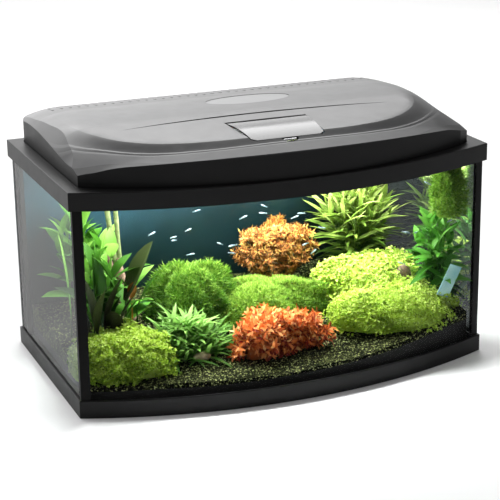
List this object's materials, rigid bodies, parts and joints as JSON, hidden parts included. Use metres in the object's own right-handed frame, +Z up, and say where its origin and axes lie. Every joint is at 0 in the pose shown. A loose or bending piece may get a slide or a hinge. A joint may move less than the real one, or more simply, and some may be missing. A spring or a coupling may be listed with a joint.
{
  "type": "glass aquarium tank",
  "caption": "Bow-front glass aquarium with black frames, a domed light hood hinged at the back, a feeding flap, gravel, stones, driftwood and live planting.",
  "frame": {"origin": "centre of the footprint, on the surface that the tank stands on", "axes": "+X to the right of someone facing the bowed front, +Y towards the straight back, +Z up"},
  "size_m": [0.6, 0.372, 0.3588],
  "materials": {
    "black_plastic": "satin black",
    "hood_plastic": "fine grained satin charcoal",
    "flap_plastic": "gloss",
    "badge": "silver gloss",
    "glass": "clear",
    "silicone": "black silicone",
    "back_film": "dark blue-green",
    "soil": "black planting layer",
    "gravel": "fine dark gravel",
    "plant_green": "leaves",
    "plant_light": "fine bright carpet",
    "plant_red": "red leaves",
    "stone": "rough",
    "driftwood": "rough",
    "steel": "brushed",
    "reflector": "bright",
    "lamp_white": "white",
    "tube": "frosted",
    "catch": "bright"
  },
  "bodies": {
    "tank": {"bottom_frame": "black_plastic", "top_frame": "black_plastic", "bottom_glass": "glass", "back_glass": "glass", "left_glass": "glass", "right_glass": "glass", "front_glass": "glass", "bead_front_left": "silicone", "bead_front_right": "silicone", "bead_back_left": "silicone", "bead_back_right": "silicone", "back_film": "back_film", "planting_layer": "soil", "gravel": "gravel", "carpet_front_left": "plant_light", "lance_plants": "plant_green", "broadleaf_left": "plant_green", "broadleaf_back_left": "plant_green", "moss_left": "plant_green", "red_bush": "plant_red", "moss_centre": "plant_light", "orange_bush": "plant_red", "carpet_front_right": "plant_light", "carpet_right": "plant_light", "tall_stems": "plant_green", "broadleaf_right": "plant_green", "moss_high": "plant_green", "stone_right": "stone", "stone_left": "stone", "driftwood": "driftwood", "hood_pin_left": "steel", "hood_pin_right": "steel"},
    "hood": {"hood_bracket_left": "black_plastic", "hood_bracket_right": "black_plastic", "hood_skirt": "black_plastic", "hood_cover": "hood_plastic", "badge_plate": "badge", "lamp_housing": "lamp_white", "lamp_screws": "steel", "lamp_lens": "glass", "socket_left": "lamp_white", "socket_right": "lamp_white", "lamp_tube": "tube", "reflector": "reflector", "ballast_box": "black_plastic", "ballast_screws": "steel", "cable_gland": "black_plastic", "flap_pin_left": "steel", "flap_pin_right": "steel"},
    "flap": {"feeding_flap": "flap_plastic", "flap_catch": "catch"}
  },
  "joints": [
    {"name": "hood_hinge", "type": "hinge", "parent": "tank", "child": "hood", "pos_m": [0, 0.1818, 0.31], "axis": [-1, 0, 0], "range_deg": [0, 95]},
    {"name": "flap_hinge", "type": "hinge", "parent": "hood", "child": "flap", "pos_m": [0, -0.051, 0.35123], "axis": [-1, 0, 0], "range_deg": [0, 100]}
  ]
}
